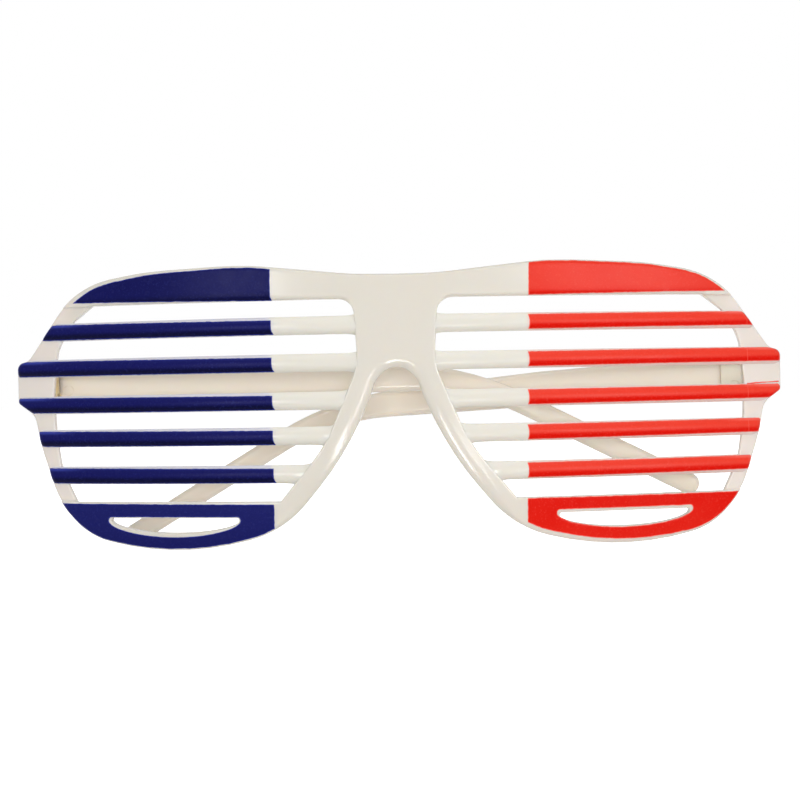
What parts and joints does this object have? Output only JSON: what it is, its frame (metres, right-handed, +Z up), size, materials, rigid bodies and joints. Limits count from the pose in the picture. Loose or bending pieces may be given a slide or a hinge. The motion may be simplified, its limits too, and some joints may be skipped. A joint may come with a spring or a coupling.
{
  "type": "party glasses",
  "caption": "Plastic party glasses with louvres in place of lenses, a blue, white and red front and two temples that fold on pins.",
  "frame": {"origin": "top of the nose arch, on the front face, where the glasses rest on the nose", "axes": "+X to the wearer's left, +Y back towards the ears, +Z up. The front faces -Y."},
  "size_m": [0.15, 0.0312, 0.0547],
  "materials": {
    "white_plastic": "glossy injection-moulded plastic, warm white",
    "blue_lacquer": "glossy printed lacquer, dark blue",
    "red_lacquer": "glossy printed lacquer, bright red",
    "pin_steel": "plain steel wire pin"
  },
  "bodies": {
    "front": {"front_frame": "white_plastic", "right_hinge_pin": "pin_steel", "left_hinge_pin": "pin_steel", "blue_print_brow": "blue_lacquer", "blue_print_bar_1": "blue_lacquer", "blue_print_bar_2": "blue_lacquer", "blue_print_bar_3": "blue_lacquer", "blue_print_bar_4": "blue_lacquer", "blue_print_bar_5": "blue_lacquer", "blue_print_lip": "blue_lacquer", "red_print_brow": "red_lacquer", "red_print_bar_1": "red_lacquer", "red_print_bar_2": "red_lacquer", "red_print_bar_3": "red_lacquer", "red_print_bar_4": "red_lacquer", "red_print_bar_5": "red_lacquer", "red_print_lip": "red_lacquer"},
    "right_arm": {"right_temple": "white_plastic"},
    "left_arm": {"left_temple": "white_plastic"}
  },
  "joints": [
    {"name": "right_temple_hinge", "type": "hinge", "parent": "front", "child": "right_arm", "pos_m": [-0.0701, 0.01918, -0.00208], "axis": [-0.0358, 0, 0.9994], "range_deg": [0, 92]},
    {"name": "left_temple_hinge", "type": "hinge", "parent": "front", "child": "left_arm", "pos_m": [0.0701, 0.01918, -0.00208], "axis": [-0.0358, 0, 0.9994], "range_deg": [-87.2, 0]}
  ]
}
